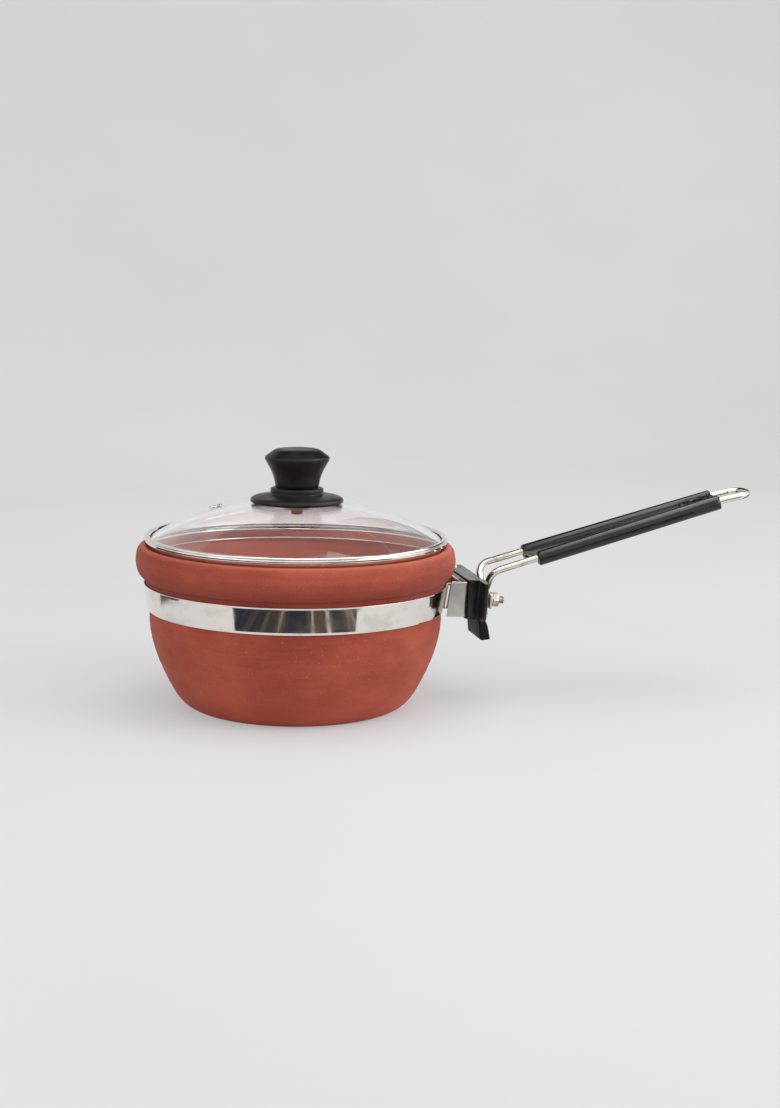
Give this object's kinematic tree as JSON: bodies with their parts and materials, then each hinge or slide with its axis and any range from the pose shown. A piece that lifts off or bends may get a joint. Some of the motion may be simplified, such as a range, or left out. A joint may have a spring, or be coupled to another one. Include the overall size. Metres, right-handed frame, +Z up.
{
  "type": "clay frying pan",
  "caption": "Unglazed clay pan with a steel band, a clamped wire handle with a moulded grip, and a domed glass lid with a black knob.",
  "frame": {"origin": "middle of the clay foot, on the surface the pan stands on", "axes": "+Z up along the bowl's axis, +X along the handle"},
  "size_m": [0.3835, 0.1916, 0.1542],
  "materials": {
    "clay": "matte",
    "polished_steel": "polished",
    "satin_steel": "satin",
    "nickel": "polished",
    "bakelite": "satin",
    "glass": "polished",
    "brass": "satin",
    "rubber": "matte"
  },
  "bodies": {
    "pan": {"clay_bowl": "clay", "steel_band": "polished_steel", "clamp_bracket": "satin_steel", "heat_guard": "bakelite", "wire_clamp_plate": "satin_steel", "clamp_bolt": "satin_steel", "lock_washer": "satin_steel", "clamp_nut": "satin_steel", "handle_wire": "nickel", "handle_grip": "bakelite"},
    "lid": {"lid_glass": "glass", "lid_rim": "polished_steel", "vent_eyelet": "polished_steel", "knob_base": "bakelite", "knob": "bakelite", "knob_insert": "brass", "knob_gasket": "rubber", "under_gasket": "rubber", "screw_washer": "satin_steel", "knob_screw": "satin_steel"}
  },
  "joints": [
    {"name": "lid_lift", "type": "slide", "parent": "pan", "child": "lid", "axis": [0, 0, 1], "range_m": [0, 0.12]}
  ]
}
